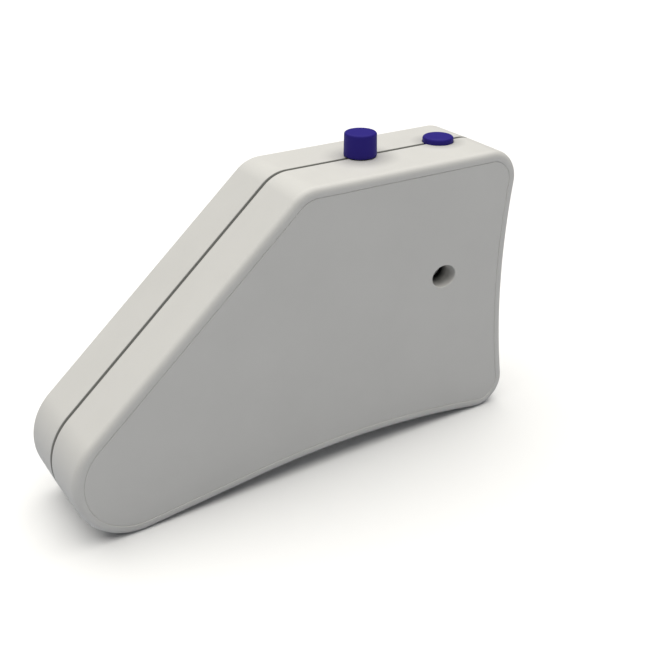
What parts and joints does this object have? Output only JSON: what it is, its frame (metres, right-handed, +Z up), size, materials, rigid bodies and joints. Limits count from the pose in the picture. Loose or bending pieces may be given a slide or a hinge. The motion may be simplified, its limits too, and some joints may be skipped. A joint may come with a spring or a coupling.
{
  "type": "hearing screening device",
  "caption": "Hand-held hearing screener: a wedge-shaped moulded case with a level knob and a tone button on top, a round sound port and a battery cover behind.",
  "frame": {"origin": "bottom centre of the device standing on its base, midway between its two ends and on the seam of its case", "axes": "+Z up, +X from the rounded heel to the end with the knob and the button, +Y from the face with the sound port to the face with the battery cover"},
  "size_m": [0.17, 0.04, 0.1102],
  "materials": {
    "shell_plastic": "fine matt moulded off-white plastic",
    "blue_plastic": "satin moulded blue plastic",
    "black_resin": "moulded black resin",
    "cream_resin": "moulded cream resin",
    "board_green": "green circuit board",
    "zinc_steel": "zinc plated steel",
    "bright_metal": "plated metal",
    "magnet_steel": "dull steel",
    "copper_wire": "enamelled copper winding",
    "battery_can": "plain coated battery can",
    "capacitor_sleeve": "shrink sleeve",
    "cone_paper": "pressed fibre cone",
    "port_cloth": "black acoustic cloth",
    "soft_foam": "soft closed-cell foam",
    "red_sleeve": "red wire sleeve",
    "black_sleeve": "black wire sleeve"
  },
  "bodies": {
    "case": {"near_shell": "shell_plastic", "far_shell": "shell_plastic", "case_screw_1": "zinc_steel", "case_screw_2": "zinc_steel", "case_screw_3": "zinc_steel", "case_screw_4": "zinc_steel", "case_screw_5": "zinc_steel", "case_screw_6": "zinc_steel", "level_pot_body": "bright_metal", "level_pot_base": "black_resin", "tone_switch_body": "black_resin", "control_board": "board_green", "main_board": "board_green", "board_header": "black_resin", "main_board_screw_1": "zinc_steel", "main_board_screw_2": "zinc_steel", "main_board_screw_3": "zinc_steel", "main_board_screw_4": "zinc_steel", "processor_chip": "black_resin", "amplifier_chip": "black_resin", "crystal": "bright_metal", "capacitor_1": "capacitor_sleeve", "capacitor_2": "capacitor_sleeve", "battery_socket": "cream_resin", "receiver_socket": "cream_resin", "port_mesh": "port_cloth", "port_gasket": "soft_foam", "receiver_frame": "black_resin", "receiver_cone": "cone_paper", "receiver_coil": "copper_wire", "receiver_magnet": "magnet_steel", "receiver_clamp": "black_resin", "clamp_screw_1": "zinc_steel", "clamp_screw_2": "zinc_steel", "clamp_screw_3": "zinc_steel", "battery": "battery_can", "battery_snap": "black_resin", "battery_lead_red": "red_sleeve", "receiver_lead_red": "red_sleeve", "battery_lead_black": "black_sleeve", "receiver_lead_black": "black_sleeve"},
    "knob": {"level_knob": "blue_plastic", "level_pot_shaft": "bright_metal"},
    "button": {"tone_button": "blue_plastic", "tone_switch_plunger": "black_resin"},
    "cover": {"battery_cover": "shell_plastic"}
  },
  "joints": [
    {"name": "knob_turn", "type": "hinge", "parent": "case", "child": "knob", "pos_m": [0.03291, 0, 0.10177], "axis": [0.0244, 0, 0.9997], "range_deg": [-150, 150]},
    {"name": "button_press", "type": "slide", "parent": "case", "child": "button", "axis": [-0.0244, 0, -0.9997], "range_m": [0, 0.0012], "stiffness_N_per_m": 1200},
    {"name": "cover_slide", "type": "slide", "parent": "case", "child": "cover", "axis": [0.1011, 0, -0.9949], "range_m": [0, 0.036]}
  ]
}
